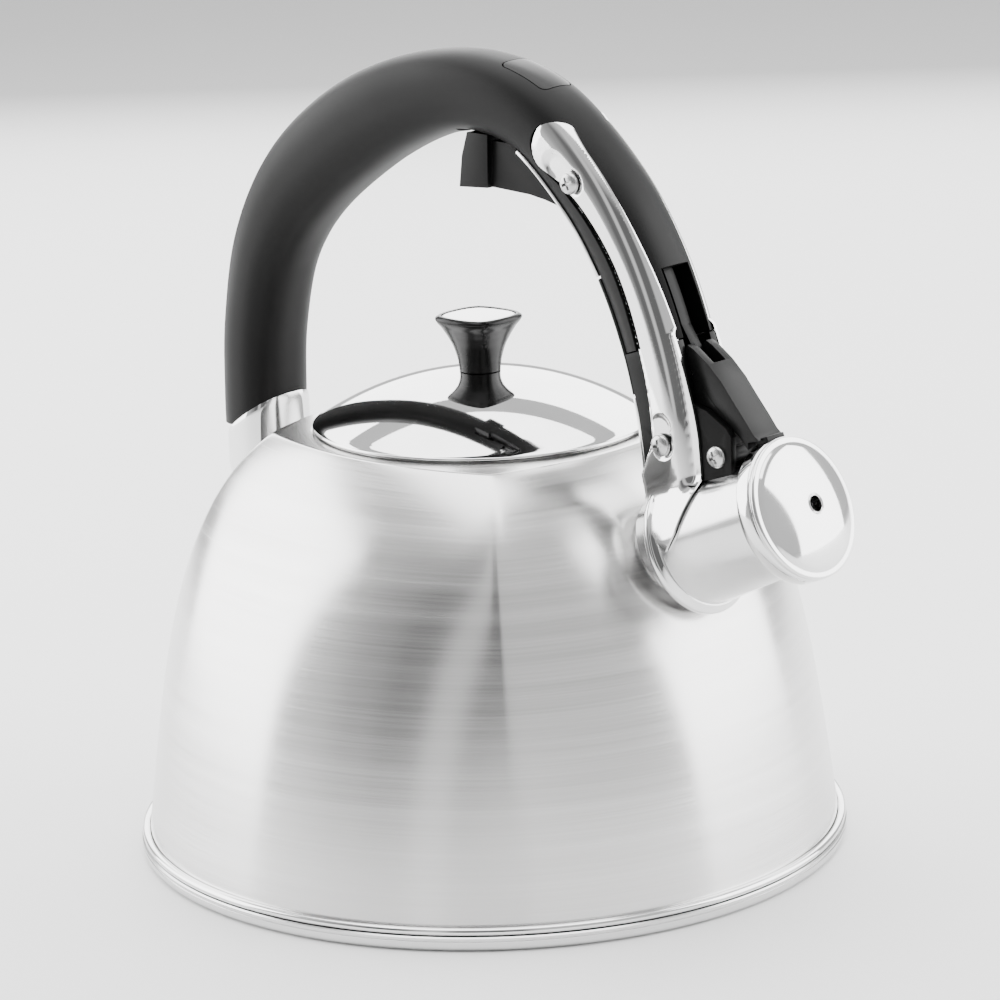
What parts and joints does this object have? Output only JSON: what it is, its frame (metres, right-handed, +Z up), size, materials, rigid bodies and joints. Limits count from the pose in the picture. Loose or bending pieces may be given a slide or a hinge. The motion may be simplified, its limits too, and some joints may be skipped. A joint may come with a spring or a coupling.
{
  "type": "stovetop whistling kettle",
  "caption": "Stainless steel stovetop whistling kettle with an arched black handle, a trigger under the grip that lifts the spout's whistle cap, and a domed lift-off lid",
  "frame": {"origin": "centre of the flat underside of the base", "axes": "+Z up, +X towards the spout, handle and spout in the XZ plane"},
  "size_m": [0.2426, 0.22, 0.2448],
  "materials": {
    "steel_body": "fine horizontal brushing",
    "steel_base": "satin, ring polished",
    "aluminium_core": "cast, unseen inside the base",
    "polished_steel": "polished",
    "mirror_steel": "mirror polish",
    "plain_steel": "plain",
    "soft_black": "soft-touch, fine grain",
    "smooth_black": "smooth moulded",
    "gloss_black": "gloss",
    "seal_rubber": "soft silicone"
  },
  "bodies": {
    "root": {"body_shell": "steel_body", "base_floor": "steel_body", "base_core": "aluminium_core", "base_cap": "steel_base", "base_ring": "steel_base", "neck_ring": "steel_body", "spout_tube": "polished_steel", "spout_collar": "polished_steel", "rear_boot": "polished_steel", "rear_bracket": "plain_steel", "rear_screw": "plain_steel", "grip": "soft_black", "grip_plug": "smooth_black", "leg_core": "smooth_black", "arm_right": "polished_steel", "arm_left": "polished_steel", "liner_upper": "plain_steel", "liner_cover": "smooth_black", "foot_bracket": "plain_steel", "upper_arm_screws": "plain_steel", "lower_arm_screws": "plain_steel", "pivot_pin": "plain_steel", "trigger_pin": "plain_steel", "trigger_spring": "plain_steel"},
    "cap_lever": {"spout_lever": "smooth_black", "lever_clip": "smooth_black", "cap_shell": "polished_steel", "whistle_tube": "polished_steel", "whistle_plate": "plain_steel", "cap_seal": "seal_rubber", "rod_pin": "plain_steel"},
    "push_rod": {"push_rod": "smooth_black"},
    "trigger": {"trigger": "soft_black"},
    "lid": {"lid_shell": "mirror_steel", "lid_skirt": "plain_steel", "lid_washer": "plain_steel", "lid_screw": "plain_steel", "knob": "gloss_black", "knob_disc": "mirror_steel"}
  },
  "joints": [
    {"name": "cap_lift", "type": "hinge", "parent": "root", "child": "cap_lever", "pos_m": [0.09968, 0, 0.13536], "axis": [0, -1, 0], "range_deg": [0, 28], "stiffness_Nm_per_rad": 0.12, "springref_deg": -34.38},
    {"name": "rod_swing", "type": "hinge", "parent": "cap_lever", "child": "push_rod", "pos_m": [0.08778, 0, 0.15806], "axis": [0, 1, 0], "range_deg": [0, 38]},
    {"name": "trigger_squeeze", "type": "hinge", "parent": "root", "child": "trigger", "pos_m": [0.03752, 0, 0.21333], "axis": [0, 1, 0], "range_deg": [0, 14], "deforming": ["trigger_spring"]},
    {"name": "lid_lift", "type": "slide", "parent": "root", "child": "lid", "axis": [0, 0, 1], "range_m": [0, 0.034]}
  ],
  "couplings": [
    {"joint": "rod_swing", "follows": "cap_lift", "ratio": 1.357},
    {"joint": "trigger_squeeze", "follows": "cap_lift", "ratio": 0.5}
  ]
}
